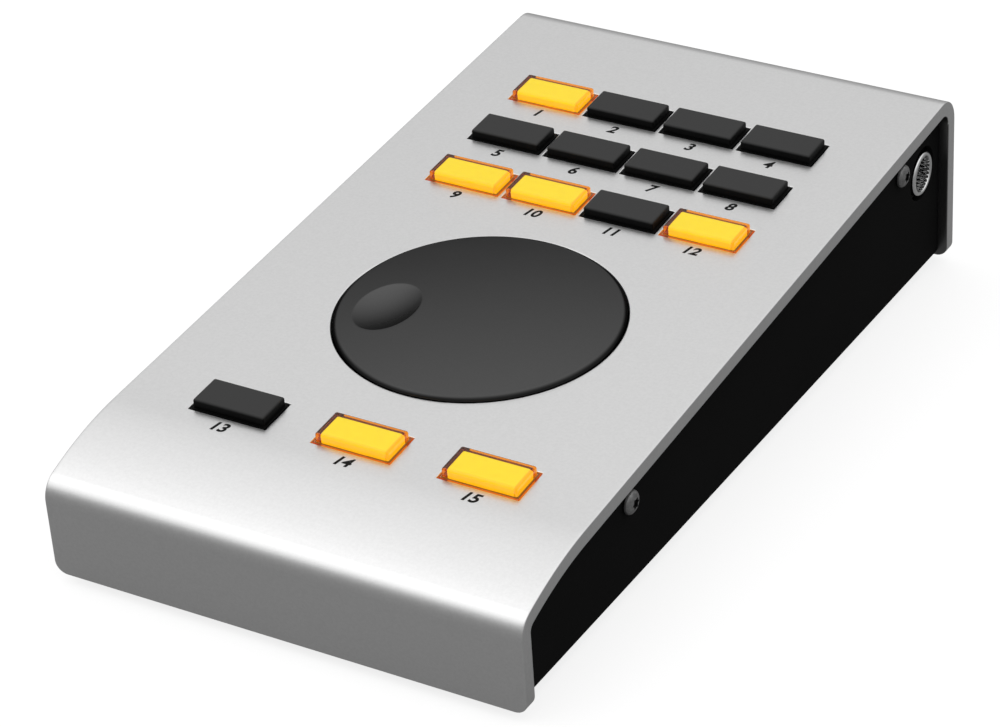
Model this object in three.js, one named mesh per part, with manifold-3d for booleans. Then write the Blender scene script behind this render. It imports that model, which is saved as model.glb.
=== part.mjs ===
// Desktop audio remote control: a folded aluminium cover screwed over a black steel case,
// with fifteen push buttons, a jog wheel, a jack socket on the right and a USB socket behind.
// Millimetres, +Z up, +X right, +Y to the rear, origin on the desk under the middle.
// The deck frame used by most pieces starts on the outer face of the cover at its front
// face: x across, y up the slope, z out of the deck.
import * as THREE from "three";
import { mergeVertices } from "three/addons/utils/BufferGeometryUtils.js";
import Module from "manifold-3d";

const wasm = await Module();
wasm.setup();

// Cover
const coverWidth = 96;
const coverLength = 183.8;
const sheet = 3.1;
const frontHeight = 23;
const deckSlope = THREE.MathUtils.degToRad(4.66);
const browStart = 23.5;
const browRadius = 68;
const frontBendRadius = 4.6;
const rearBendRadius = 6.2;
const flangeCornerRadius = 2.5;

// Case and feet
const caseInset = 2;
const caseSheet = 1.5;
const caseBendRadius = 1.8;
const caseGap = 0.3;
const caseRise = 0.15;
const footRadius = 6.3;
const footHeight = 1.85;
const footEdge = 0.6;
const footPad = 0.3;
const footFromSide = 14;
const footFromEnd = 18;

// Side screws and the threaded lugs that take them
const sideScrewHeadRadius = 2.3;
const sideScrewHeadHeight = 1.4;
const sideScrewRim = 0.3;
const sideScrewRadius = 1.25;
const sideScrewLength = 8;
const recessRadius = 0.92;
const recessLobe = 0.17;
const recessDepth = 0.75;
const frontScrewFromFront = 42.4;
const lugToJack = 0.55;
const screwBelowDeck = 7.5;
const lugReach = 6.5;
const lugLength = 7;
const lugDrop = 8.4;

// Buttons
const keySpacing = 1.25;
const topRowShare = 0.81665;
const rowPitchShare = 0.09276;
const frontRowShare = 0.1654;
const capWidth = 14.9;
const capDepth = 7.4;
const capHeight = 1.8;
const capEdge = 0.45;
const capWall = 0.6;
const capRoof = 0.45;
const skirtLedge = 0.45;
const skirtThickness = 1.2;
const windowGap = 0.2;
const insertGap = 0.25;
const travel = 0.8;
const stemSide = 2.4;
const switchSide = 6;
const switchHeight = 2.9;
const switchFloor = 0.9;
const switchToKey = 0.3;
const stemGap = 0.2;

// Jog wheel
const wheelShare = 0.39772;
const wheelRadius = 27.3;
const wheelHeight = 1.1;
const wheelThickness = 3;
const wheelEdge = 0.8;
const wheelGap = 0.3;
const hubRadius = 5;
const hubDrop = 1;
const dimpleAcrossShare = 0.6044;
const dimpleAheadShare = 0.2015;
const dimpleWidthShare = 0.2198;
const dimpleLengthShare = 0.293;
const dimpleDepth = 1.3;

// Main board and what holds it
const boardThickness = 1.6;
const boardSideGap = 3.5;
const boardFromFront = 16;
const boardRearGap = 0.8;
const notchGap = 0.5;
const bossRadius = 2.8;
const bossFromEdge = 3.4;
const frontBossFromFront = 23.5;
const rearBossFromRear = 38;
const boardScrewRadius = 1.25;
const boardScrewLength = 5;
const boardScrewHeadRadius = 2.2;
const boardScrewHeadHeight = 1.5;
const slotWidth = 0.6;
const slotDepth = 0.7;
const chipSide = 10;
const chipHeight = 1.2;
const chipFromWheel = 44;

// Rotary encoder
const encoderSide = 12;
const encoderHeight = 6;
const encoderFloor = 0.8;
const bushingRadius = 4.5;
const bushingToHub = 0.4;
const nutAcrossFlats = 12;
const nutSides = 6;
const shaftRadius = 3;
const shaftEngagement = 3;

// Jack socket
const jackToFlange = 1.8;
const jackBelowDeck = 13.25;
const jackLength = 27;
const jackBodyWidth = 14;
const plugBoreRadius = 3.3;
const sleeveRadius = 4.65;
const sleeveMouthRadius = 3.8;
const sleeveMouthDepth = 3.4;
const sleeveLength = 6.6;
const sleeveProud = 0.4;
const jackWindowRadius = 5.7;

// USB socket
const usbWidth = 12;
const usbHeight = 11;
const usbLength = 16;
const usbWall = 0.5;
const usbRecess = 0.5;
const usbPlugWidth = 8.5;
const usbPlugHeight = 7.8;
const usbPlugDepth = 9;
const usbTongueWidth = 5.6;
const usbTongueHeight = 3.2;
const usbTongueRecess = 2.6;

// Clearances, counts and facets
const seatGap = 0.3;
const threadGap = 0.15;
const shaftGap = 0.1;
const overrun = 5;
const gridColumns = 4;
const gridRows = 3;
const frontButtons = 3;
const litButtons = [1, 9, 10, 12, 14, 15];
const recessLobes = 6;
const recessSteps = 24;
const bendSteps = 7;
const edgeSteps = 3;
const fineSides = 72;
const coarseSides = 28;
const screwSides = 20;

const right = coverWidth / 2;
const caseSide = right - caseInset;
const caseInner = caseSide - caseSheet;
const caseBottom = footHeight + footPad;
const flangeBottom = caseBottom - caseRise;
const sheetUnderside = -sheet;
const boardTop = -(skirtThickness + travel + switchToKey + switchHeight + seatGap);
const boardUnderside = boardTop - boardThickness;
const boardHalfWidth = caseInner - boardSideGap;
const boardRear = coverLength - sheet - boardRearGap;
const hangTop = boardUnderside - seatGap;
const buttonPitch = capWidth + skirtLedge * 2 + keySpacing;
const frontPitch = buttonPitch * (gridColumns - 1) / (frontButtons - 1);
const windowHalfWidth = capWidth / 2 + skirtLedge + windowGap;
const windowHalfDepth = capDepth / 2 + skirtLedge + windowGap;
const wheelFromFront = coverLength * wheelShare;
const wheelUnderside = wheelHeight - wheelThickness;
const hubBottom = wheelUnderside - hubDrop;
const bushingTop = hubBottom - bushingToHub;
const jackFromFront = coverLength - sheet - jackToFlange - jackBodyWidth / 2;
const rearLugRear = jackFromFront - jackBodyWidth / 2 - lugToJack;
const screwRows = [frontScrewFromFront, rearLugRear - lugLength / 2];
const bossFromCentre = boardHalfWidth - bossFromEdge;
const bossRows = [frontBossFromFront, coverLength - rearBossFromRear];
const jackPlace = new THREE.Vector3(caseInner - seatGap, jackFromFront, -jackBelowDeck);
const usbRear = coverLength - usbRecess;
const usbMiddle = hangTop - usbHeight / 2;

const remote = new THREE.Group();
const deck = new THREE.Group();
deck.rotation.x = deckSlope;
deck.position.z = flangeBottom + frontHeight;
deck.updateMatrix();
remote.add(deck);

function weld(geometry) {
  const bare = geometry.clone();
  bare.deleteAttribute("normal");
  bare.deleteAttribute("uv");
  const welded = mergeVertices(bare);
  const corners = [];
  const index = welded.index.array;
  for (let i = 0; i < index.length; i += 3) {
    const [a, b, c] = [index[i], index[i + 1], index[i + 2]];
    if (a !== b && b !== c && c !== a) {
      corners.push(a, b, c);
    }
  }
  welded.setIndex(corners);
  return welded;
}

function toSolid(geometry) {
  const welded = weld(geometry);
  const vertProperties = welded.attributes.position.array;
  const triVerts = new Uint32Array(welded.index.array);
  return new wasm.Manifold(new wasm.Mesh({ numProp: 3, vertProperties, triVerts }));
}

function toGeometry(solid) {
  const mesh = solid.getMesh();
  const geometry = new THREE.BufferGeometry();
  geometry.setAttribute("position", new THREE.BufferAttribute(mesh.vertProperties, 3));
  geometry.setIndex(new THREE.BufferAttribute(mesh.triVerts, 1));
  return geometry;
}

function join(base, additions) {
  return toGeometry(additions.reduce((sum, next) => sum.add(toSolid(next)), toSolid(base)));
}

function cut(base, tools) {
  return toGeometry(tools.reduce((sum, next) => sum.subtract(toSolid(next)), toSolid(base)));
}

function keepInside(base, limit) {
  return toGeometry(toSolid(base).intersect(toSolid(limit)));
}

// A box given by its lowest and highest x, y and z
function block(x, y, z) {
  const geometry = new THREE.BoxGeometry(x[1] - x[0], y[1] - y[0], z[1] - z[0]);
  return geometry.translate((x[0] + x[1]) / 2, (y[0] + y[1]) / 2, (z[0] + z[1]) / 2);
}

// An upright cylinder at x, y between two heights
function post(radius, z, x = 0, y = 0, sides = coarseSides) {
  const geometry = new THREE.CylinderGeometry(radius, radius, z[1] - z[0], sides);
  return geometry.rotateX(Math.PI / 2).translate(x, y, (z[0] + z[1]) / 2);
}

// A cylinder along x between two stations
function bar(radius, x, y, z, sides = coarseSides) {
  const geometry = new THREE.CylinderGeometry(radius, radius, x[1] - x[0], sides);
  return geometry.rotateZ(-Math.PI / 2).translate((x[0] + x[1]) / 2, y, z);
}

// A turned solid: its profile is a list of radius and height pairs, rising from axis to axis
function turned(profile, sides) {
  const points = profile.map(([radius, height]) => new THREE.Vector2(radius, height));
  return new THREE.LatheGeometry(points, sides).rotateX(Math.PI / 2);
}

function arc(centre, radius, from, to, steps) {
  const points = [];
  for (let step = 0; step <= steps; step += 1) {
    const angle = from + (to - from) * step / steps;
    points.push([centre[0] + radius * Math.cos(angle), centre[1] + radius * Math.sin(angle)]);
  }
  return points;
}

function prism(points, depth) {
  const shape = new THREE.Shape(points.map(([x, y]) => new THREE.Vector2(x, y)));
  return new THREE.ExtrudeGeometry(shape, { depth, bevelEnabled: false });
}

// Side outline in y and z, carried across the whole width
function acrossWidth(points, width) {
  const geometry = prism(points, width).translate(0, 0, -width / 2);
  return geometry.rotateX(Math.PI / 2).rotateZ(Math.PI / 2);
}

// Front outline in x and z, carried from front to rear past both ends
function alongLength(points) {
  const length = coverLength + overrun * 2;
  return prism(points, length).rotateX(Math.PI / 2).translate(0, coverLength + overrun, 0);
}

// The cover's side line at a depth below its outer face: up the front flange, round the
// front bend, over the brow, along the flat deck, round the rear bend and down again.
// The brow is an arc that leaves the deck level and meets the front bend at a tangent.
function sideLine(depth) {
  const browCentre = [browStart, -browRadius];
  const across = browStart - frontBendRadius;
  const rise = Math.sqrt((browRadius - frontBendRadius) ** 2 - across ** 2);
  const frontCentre = [frontBendRadius, rise - browRadius];
  const rearCentre = [coverLength - rearBendRadius, -rearBendRadius];
  const meeting = Math.atan2(rise, -across);
  const reach = -(frontHeight + coverLength * Math.sin(deckSlope) + overrun);
  const brow = arc(browCentre, browRadius - depth, meeting, Math.PI / 2, bendSteps);
  return [
    [depth, reach],
    ...arc(frontCentre, frontBendRadius - depth, Math.PI, meeting, bendSteps),
    ...brow.slice(1),
    ...arc(rearCentre, rearBendRadius - depth, Math.PI / 2, 0, bendSteps),
    [coverLength - depth, reach],
  ];
}

// Front outline in x and z, open upwards, with both lower corners rounded
function trough(halfWidth, bottom, top, radius) {
  return [
    [-halfWidth, top],
    ...arc([radius - halfWidth, bottom + radius], radius, Math.PI, Math.PI * 1.5, edgeSteps),
    ...arc([halfWidth - radius, bottom + radius], radius, Math.PI * 1.5, Math.PI * 2, edgeSteps),
    [halfWidth, top],
  ];
}

function buttonPlaces() {
  const places = [];
  for (let row = 0; row < gridRows; row += 1) {
    for (let column = 0; column < gridColumns; column += 1) {
      const x = (column - (gridColumns - 1) / 2) * buttonPitch;
      places.push([x, coverLength * (topRowShare - row * rowPitchShare)]);
    }
  }
  for (let column = 0; column < frontButtons; column += 1) {
    places.push([(column - (frontButtons - 1) / 2) * frontPitch, coverLength * frontRowShare]);
  }
  return places;
}

// Calls back for the left and right copy at each of two stations along the deck
function fourCorners(rows, visit) {
  rows.forEach((y, row) => {
    for (const side of [-1, 1]) {
      const name = `${row === 0 ? "front" : "rear"}_${side < 0 ? "left" : "right"}`;
      visit(side, y, name);
    }
  });
}

function sideSpan(side, from, to) {
  return side < 0 ? [-to, -from] : [from, to];
}

function makeCover() {
  const inner = sideLine(sheet).reverse();
  const folded = acrossWidth([...sideLine(0), ...inner], coverWidth);
  const top = flangeBottom + frontHeight + coverLength;
  const outline = alongLength(trough(right, flangeBottom, top, flangeCornerRadius));
  outline.applyMatrix4(deck.matrix.clone().invert());
  const additions = [];
  const tools = [];
  const bite = sheet / 2;
  fourCorners(screwRows, (side, y) => {
    const x = sideSpan(side, caseInner - caseGap - lugReach, caseInner - caseGap);
    const along = [y - lugLength / 2, y + lugLength / 2];
    additions.push(block(x, along, [sheetUnderside - lugDrop, sheetUnderside + bite]));
    const bore = sideSpan(side, caseInner - lugReach - overrun, caseInner);
    tools.push(bar(sideScrewRadius + threadGap, bore, y, -screwBelowDeck, screwSides));
  });
  fourCorners(bossRows, (side, y) => {
    const x = side * bossFromCentre;
    const bossBottom = boardTop + seatGap;
    additions.push(post(bossRadius, [bossBottom, sheetUnderside + bite], x, y));
    const holeTop = boardUnderside + boardScrewLength + seatGap;
    tools.push(post(boardScrewRadius + threadGap, [bossBottom - overrun, holeTop], x, y, screwSides));
  });
  for (const [x, y] of buttonPlaces()) {
    const across = [x - windowHalfWidth, x + windowHalfWidth];
    const along = [y - windowHalfDepth, y + windowHalfDepth];
    tools.push(block(across, along, [sheetUnderside - overrun, overrun]));
  }
  const wheelHole = [sheetUnderside - overrun, overrun];
  tools.push(post(wheelRadius + wheelGap, wheelHole, 0, wheelFromFront, fineSides));
  const usbAcross = usbWidth / 2 + seatGap;
  const usbUp = [usbMiddle - usbHeight / 2 - seatGap, usbMiddle + usbHeight / 2 + seatGap];
  const usbAlong = [coverLength - sheet - bite, coverLength + overrun];
  tools.push(block([-usbAcross, usbAcross], usbAlong, usbUp));
  return cut(join(keepInside(folded, outline), additions), tools);
}

function makeCase() {
  const top = flangeBottom + frontHeight + coverLength;
  const innerRadius = caseBendRadius - caseSheet;
  const outer = alongLength(trough(caseSide, caseBottom, top, caseBendRadius));
  const inner = alongLength(trough(caseInner, caseBottom + caseSheet, top + overrun, innerRadius));
  const inside = acrossWidth(sideLine(sheet + caseGap), coverWidth).applyMatrix4(deck.matrix);
  const holes = [];
  fourCorners(screwRows, (side, y) => {
    const x = sideSpan(side, caseInner - overrun, right);
    holes.push(bar(sideScrewRadius + threadGap, x, y, -screwBelowDeck, screwSides));
  });
  const jackHole = [caseInner - overrun, right];
  holes.push(bar(jackWindowRadius, jackHole, jackPlace.y, jackPlace.z));
  holes.forEach((hole) => hole.applyMatrix4(deck.matrix));
  return cut(keepInside(outer, inside), [inner, ...holes]);
}

function makeFoot() {
  return turned([
    [0, 0],
    [footRadius - footEdge, 0],
    [footRadius, footEdge],
    [footRadius, footHeight],
    [0, footHeight],
  ], coarseSides);
}

// The head's underside is at z = 0, the shank hangs below and the dome rises above
function makeSideScrew() {
  const dome = arc([0, 0], 1, 0, Math.PI / 2, edgeSteps);
  const domeHeight = sideScrewHeadHeight - sideScrewRim;
  const blank = turned([
    [0, -sideScrewLength],
    [sideScrewRadius, -sideScrewLength],
    [sideScrewRadius, 0],
    [sideScrewHeadRadius, 0],
    ...dome.slice(0, -1).map(([r, z]) => [r * sideScrewHeadRadius, sideScrewRim + z * domeHeight]),
    [0, sideScrewHeadHeight],
  ], screwSides);
  const lobes = [];
  for (let step = 0; step < recessSteps; step += 1) {
    const angle = step / recessSteps * Math.PI * 2;
    const radius = recessRadius + recessLobe * Math.cos(recessLobes * angle);
    lobes.push([radius * Math.cos(angle), radius * Math.sin(angle)]);
  }
  const recess = prism(lobes, overrun).translate(0, 0, sideScrewHeadHeight - recessDepth);
  return cut(blank, [recess]);
}

// A cheese head with one slot; the head is above z = 0 and the shank below
function makeBoardScrew() {
  const blank = turned([
    [0, -boardScrewLength],
    [boardScrewRadius, -boardScrewLength],
    [boardScrewRadius, 0],
    [boardScrewHeadRadius, 0],
    [boardScrewHeadRadius, boardScrewHeadHeight],
    [0, boardScrewHeadHeight],
  ], screwSides);
  const across = [-slotWidth / 2, slotWidth / 2];
  const along = [-boardScrewHeadRadius - overrun, boardScrewHeadRadius + overrun];
  const deep = [boardScrewHeadHeight - slotDepth, boardScrewHeadHeight + overrun];
  return cut(blank, [block(across, along, deep)]);
}

// Key top with a softened upper edge, on a thin ledge that fills its window
function makeKeyBody() {
  const halfWidth = capWidth / 2 - capEdge;
  const halfDepth = capDepth / 2 - capEdge;
  const plan = new THREE.Shape([
    new THREE.Vector2(-halfWidth, -halfDepth),
    new THREE.Vector2(halfWidth, -halfDepth),
    new THREE.Vector2(halfWidth, halfDepth),
    new THREE.Vector2(-halfWidth, halfDepth),
  ]);
  const options = { bevelEnabled: true, bevelSegments: edgeSteps, bevelSize: capEdge, bevelThickness: capEdge };
  const height = capHeight + skirtThickness - capEdge * 2;
  const top = new THREE.ExtrudeGeometry(plan, { depth: height, ...options });
  top.translate(0, 0, capEdge - skirtThickness);
  const across = capWidth / 2 + skirtLedge;
  const along = capDepth / 2 + skirtLedge;
  return join(top, [block([-across, across], [-along, along], [-skirtThickness, 0])]);
}

// Reaches from the key down into the well of the switch, clear of its floor by the travel
function makeStem() {
  const half = stemSide / 2;
  const bottom = boardTop + seatGap + switchFloor + travel + stemGap;
  return block([-half, half], [-half, half], [bottom, -skirtThickness / 2]);
}

function makeDarkCap() {
  return join(makeKeyBody(), [makeStem()]);
}

function makeClearCap() {
  const x = capWidth / 2 - capWall;
  const y = capDepth / 2 - capWall;
  const cavity = block([-x, x], [-y, y], [-skirtThickness - overrun, capHeight - capRoof]);
  return cut(makeKeyBody(), [cavity]);
}

function makeInsert() {
  const x = capWidth / 2 - capWall - insertGap;
  const y = capDepth / 2 - capWall - insertGap;
  const core = block([-x, x], [-y, y], [-skirtThickness, capHeight - capRoof - insertGap]);
  return join(core, [makeStem()]);
}

function makeSwitch() {
  const half = switchSide / 2;
  const well = stemSide / 2 + stemGap;
  const body = block([-half, half], [-half, half], [0, switchHeight]);
  return cut(body, [block([-well, well], [-well, well], [switchFloor, switchHeight + overrun])]);
}

function makeWheel() {
  const boreTop = hubBottom + shaftEngagement + shaftGap;
  const boreRadius = shaftRadius + shaftGap;
  const edge = arc([wheelRadius - wheelEdge, wheelHeight - wheelEdge], wheelEdge, 0, Math.PI / 2, edgeSteps);
  const disc = turned([
    [0, boreTop],
    [boreRadius, boreTop],
    [boreRadius, hubBottom],
    [hubRadius, hubBottom],
    [hubRadius, wheelUnderside],
    [wheelRadius, wheelUnderside],
    ...edge,
    [0, wheelHeight],
  ], fineSides);
  const ball = ((wheelRadius * dimpleWidthShare) ** 2 + dimpleDepth ** 2) / (dimpleDepth * 2);
  const dimple = new THREE.SphereGeometry(ball, coarseSides, fineSides).rotateX(Math.PI / 2);
  dimple.scale(1, dimpleLengthShare / dimpleWidthShare, 1);
  dimple.translate(-wheelRadius * dimpleAcrossShare, -wheelRadius * dimpleAheadShare, wheelHeight - dimpleDepth + ball);
  return cut(disc, [dimple]);
}

function makeEncoderBody() {
  const half = encoderSide / 2;
  const bottom = hangTop - encoderHeight;
  const body = block([-half, half], [-half, half], [bottom, hangTop]);
  const bushing = post(bushingRadius, [hangTop - encoderFloor, bushingTop]);
  const bore = post(shaftRadius + shaftGap, [bottom + encoderFloor, overrun]);
  return cut(join(body, [bushing]), [bore]);
}

function makeEncoderNut() {
  const corner = nutAcrossFlats / 2 / Math.cos(Math.PI / nutSides);
  const bottom = boardTop + seatGap;
  const hexagon = post(corner, [bottom, bushingTop - seatGap], 0, 0, nutSides);
  const bore = post(bushingRadius + threadGap, [bottom - overrun, bottom + overrun]);
  return cut(hexagon, [bore]);
}

function makeEncoderShaft() {
  const bottom = hangTop - encoderHeight + encoderFloor + seatGap;
  return post(shaftRadius, [bottom, hubBottom + shaftEngagement]);
}

function makeBoard() {
  const plate = block([-boardHalfWidth, boardHalfWidth], [boardFromFront, boardRear], [boardUnderside, boardTop]);
  const through = [boardUnderside - overrun, boardTop + overrun];
  const tools = [post(bushingRadius + seatGap, through, 0, wheelFromFront)];
  fourCorners(screwRows, (side, y) => {
    const x = sideSpan(side, caseInner - caseGap - lugReach - notchGap, right);
    const reach = lugLength / 2 + notchGap;
    tools.push(block(x, [y - reach, y + reach], through));
  });
  fourCorners(bossRows, (side, y) => {
    tools.push(post(boardScrewRadius + threadGap, through, side * bossFromCentre, y, screwSides));
  });
  return cut(plate, tools);
}

function makeChip() {
  const half = chipSide / 2;
  return block([-half, half], [-half, half], [-chipHeight, 0]);
}

// The jack's own frame is on its axis at the inner face of the case wall, x pointing out
function makeJackBody() {
  const halfHeight = jackBelowDeck + hangTop;
  const half = jackBodyWidth / 2;
  const body = block([-jackLength, 0], [-half, half], [-halfHeight, halfHeight]);
  const bore = bar(plugBoreRadius, [-jackLength + caseSheet, overrun], 0, 0);
  const seatDepth = sleeveLength - caseSheet - seatGap - sleeveProud;
  const seat = bar(sleeveRadius + seatGap / 2, [-seatDepth - seatGap, overrun], 0, 0);
  return cut(body, [bore, seat]);
}

function makeJackSleeve() {
  const outer = caseSheet + seatGap + sleeveProud;
  const tube = bar(sleeveRadius, [outer - sleeveLength, outer], 0, 0);
  const bore = bar(plugBoreRadius, [-sleeveLength - overrun, outer + overrun], 0, 0);
  const mouth = bar(sleeveMouthRadius, [outer - sleeveMouthDepth, outer + overrun], 0, 0);
  return cut(tube, [bore, mouth]);
}

// The socket's own frame is in the middle of its rear face, y pointing out of the case
function makeUsbShell() {
  const x = usbWidth / 2;
  const z = usbHeight / 2;
  const outer = block([-x, x], [-usbLength, 0], [-z, z]);
  const hollow = [-usbLength - overrun, overrun];
  return cut(outer, [block([usbWall - x, x - usbWall], hollow, [usbWall - z, z - usbWall])]);
}

function makeUsbInsulator() {
  const x = usbWidth / 2 - usbWall - seatGap;
  const z = usbHeight / 2 - usbWall - seatGap;
  const core = block([-x, x], [-usbLength, -seatGap], [-z, z]);
  const plugX = usbPlugWidth / 2;
  const plugZ = usbPlugHeight / 2;
  const tongueX = usbTongueWidth / 2;
  const tongueZ = usbTongueHeight / 2;
  const mouth = block([-plugX, plugX], [-usbPlugDepth, overrun], [-plugZ, plugZ]);
  const tongue = block([-tongueX, tongueX], [-usbPlugDepth - usbWall, -usbTongueRecess], [-tongueZ, tongueZ]);
  return join(cut(core, [mouth]), [tongue]);
}

function finish(color, roughness, metalness = 0) {
  return new THREE.MeshStandardMaterial({ color, roughness, metalness });
}

function clearFinish(color, roughness, opacity) {
  return new THREE.MeshStandardMaterial({ color, roughness, transparent: true, opacity });
}

function glowFinish(color, roughness) {
  return new THREE.MeshStandardMaterial({ color, roughness, emissive: color });
}

function add(parent, name, geometry, material, x = 0, y = 0, z = 0) {
  const piece = new THREE.Mesh(geometry, material);
  piece.name = name;
  piece.position.set(x, y, z);
  parent.add(piece);
  return piece;
}

add(deck, "top_cover", makeCover(), finish(0xcacbcb, 0.42, 0.9));
add(remote, "bottom_case", makeCase(), finish(0x111111, 0.6, 0.2));

const foot = makeFoot();
fourCorners([footFromEnd, coverLength - footFromEnd], (side, y, corner) => {
  add(remote, `foot_${corner}`, foot, finish(0x1b1b1b, 0.9), side * (right - footFromSide), y);
});

const sideScrew = makeSideScrew();
fourCorners(screwRows, (side, y, corner) => {
  const x = side * (caseSide + seatGap);
  const screw = add(deck, `side_screw_${corner}`, sideScrew, finish(0x3a3a3a, 0.35, 0.9), x, y, -screwBelowDeck);
  screw.rotation.y = side * Math.PI / 2;
});

const boardScrew = makeBoardScrew();
fourCorners(bossRows, (side, y, corner) => {
  const x = side * bossFromCentre;
  const screw = add(deck, `board_screw_${corner}`, boardScrew, finish(0x8d8f92, 0.35, 1), x, y, hangTop);
  screw.rotation.x = Math.PI;
});

const darkCap = makeDarkCap();
const clearCap = makeClearCap();
const insert = makeInsert();
const switchBody = makeSwitch();
buttonPlaces().forEach(([x, y], index) => {
  const number = index + 1;
  if (litButtons.includes(number)) {
    add(deck, `button_cap_${number}`, clearCap, clearFinish(0xd8641c, 0.15, 0.45), x, y);
    add(deck, `light_insert_${number}`, insert, glowFinish(0xffd21c, 0.5), x, y);
  } else {
    add(deck, `button_cap_${number}`, darkCap, finish(0x2e2e2e, 0.35), x, y);
  }
  add(deck, `switch_${number}`, switchBody, finish(0x1a1a1c, 0.6), x, y, boardTop + seatGap);
});

add(deck, "jog_wheel", makeWheel(), finish(0x3c3c3c, 0.45), 0, wheelFromFront);
add(deck, "encoder_shaft", makeEncoderShaft(), finish(0xb9bbbe, 0.3, 1), 0, wheelFromFront);
add(deck, "encoder_body", makeEncoderBody(), finish(0x2b4f8c, 0.5), 0, wheelFromFront);
add(deck, "encoder_nut", makeEncoderNut(), finish(0xb08d3c, 0.35, 1), 0, wheelFromFront);
add(deck, "main_board", makeBoard(), finish(0x1d5a34, 0.55));
const chipPlace = wheelFromFront + chipFromWheel;
add(deck, "controller_chip", makeChip(), finish(0x151517, 0.6), 0, chipPlace, hangTop);

const { x: jackX, y: jackY, z: jackZ } = jackPlace;
add(deck, "jack_body", makeJackBody(), finish(0x17171a, 0.6), jackX, jackY, jackZ);
add(deck, "jack_sleeve", makeJackSleeve(), finish(0xd9dadc, 0.18, 1), jackX, jackY, jackZ);
add(deck, "usb_shell", makeUsbShell(), finish(0xc6c8ca, 0.25, 1), 0, usbRear, usbMiddle);
add(deck, "usb_insulator", makeUsbInsulator(), finish(0x101012, 0.6), 0, usbRear, usbMiddle);

// The origin goes under the middle of the footprint, on the desk
remote.updateMatrixWorld(true);
const bounds = new THREE.Box3().setFromObject(remote, true);
remote.position.y = -(bounds.min.y + bounds.max.y) / 2;
remote.updateMatrixWorld(true);

export default remote;
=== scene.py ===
import math

import bmesh
import bpy
import numpy as np
from mathutils import Matrix


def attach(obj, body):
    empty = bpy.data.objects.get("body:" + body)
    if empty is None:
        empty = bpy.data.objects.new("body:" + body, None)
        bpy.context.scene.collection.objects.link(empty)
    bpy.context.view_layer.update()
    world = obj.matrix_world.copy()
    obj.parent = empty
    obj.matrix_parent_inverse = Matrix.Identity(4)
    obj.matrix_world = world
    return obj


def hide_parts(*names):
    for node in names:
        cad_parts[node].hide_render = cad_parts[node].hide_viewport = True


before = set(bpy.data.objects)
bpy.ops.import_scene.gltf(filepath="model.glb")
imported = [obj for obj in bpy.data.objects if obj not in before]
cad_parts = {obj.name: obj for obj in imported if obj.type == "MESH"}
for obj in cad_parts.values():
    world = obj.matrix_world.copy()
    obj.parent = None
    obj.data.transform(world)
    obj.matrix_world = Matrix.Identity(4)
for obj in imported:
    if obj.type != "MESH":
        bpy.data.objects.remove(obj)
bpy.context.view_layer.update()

# Shapes are worked out in millimetres. Most belong to the deck's own frame, which starts on the
# cover's outer face at its front: x across, y up the slope, z out of the deck.
deckSlope = math.radians(4.66)
deckStart = (-93.4624, 25.0)
mergeWithin = 2e-6    # metres
smoothBelow = math.radians(40)
hands = {"left": -1, "right": 1}
finishes = {}    # every finish by its name


# Turned about x by the slope, moved to the deck's front edge, millimetres to metres
def deckToWorld(points):
    x, y, z = np.moveaxis(np.asarray(points, float), -1, 0)
    c, s = math.cos(deckSlope), math.sin(deckSlope)
    return np.stack([x, y * c - z * s + deckStart[0], y * s + z * c + deckStart[1]], -1) * 0.001


# The same turn and move undone
def worldToDeck(points):
    x, y, z = np.moveaxis(np.asarray(points, float) * 1000 - (0, *deckStart), -1, 0)
    c, s = math.cos(deckSlope), math.sin(deckSlope)
    return np.stack([x, y * c + z * s, z * c - y * s], -1)


# A patch is points and four-sided faces between neighbours of a rows by columns grid
def gridPatch(points, wrap=False):
    rows, columns = points.shape[:2]
    index = np.arange(rows * columns).reshape(rows, columns)
    if wrap:
        index = np.hstack([index, index[:, :1]])
    corners = (index[:-1, :-1], index[:-1, 1:], index[1:, 1:], index[1:, :-1])
    return points.reshape(rows * columns, -1), np.stack(corners, -1).reshape(-1, 4)


# Patches one after another: all points, and faces whose counting goes on from patch to patch
def joinPatches(patches):
    starts = np.cumsum([0] + [len(points) for points, _ in patches])
    faces = [quads + start for (_, quads), start in zip(patches, starts)]
    return np.vstack([points for points, _ in patches]), np.vstack(faces)


# Closed rows in the deck's frame, each joined to the next
def shell(rows):
    return [gridPatch(deckToWorld(rows), wrap=True)]


def addObject(name, data):
    thing = bpy.data.objects.new(name, data)
    bpy.context.scene.collection.objects.link(thing)
    return thing


def pointsOf(mesh):
    points = np.empty(len(mesh.vertices) * 3, np.float32)
    mesh.vertices.foreach_get("co", points)
    return points.reshape(-1, 3)


# Joins patches into one closed mesh: same points merged, normals outwards, smooth up to an angle. Its
# finish has the slot's name. A mark is a point attribute whose rule gives 0 to 1 from the deck places
# of all points.
def makePiece(name, patches, slot, body, replaced, **marks):
    corners, faces = joinPatches(patches)
    mesh = bpy.data.meshes.new(name)
    mesh.from_pydata(corners.tolist(), [], faces.tolist())
    work = bmesh.new()
    work.from_mesh(mesh)
    bmesh.ops.remove_doubles(work, verts=work.verts, dist=mergeWithin)
    bmesh.ops.recalc_face_normals(work, faces=work.faces)
    work.to_mesh(mesh)
    work.free()
    mesh.polygons.foreach_set("use_smooth", np.ones(len(mesh.polygons), bool))
    mesh.set_sharp_from_angle(angle=smoothBelow)
    mesh.materials.append(finishes[slot])
    spots = worldToDeck(pointsOf(mesh))
    for mark, rule in marks.items():
        values = np.asarray(rule(spots), np.float32)
        mesh.attributes.new(mark, "FLOAT", "POINT").data.foreach_set("value", values)
    piece = addObject(name, mesh)
    weigh = piece.modifiers.new("Weigh", "WEIGHTED_NORMAL")
    weigh.keep_sharp = True
    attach(piece, body)
    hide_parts(replaced)
    return piece


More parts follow.
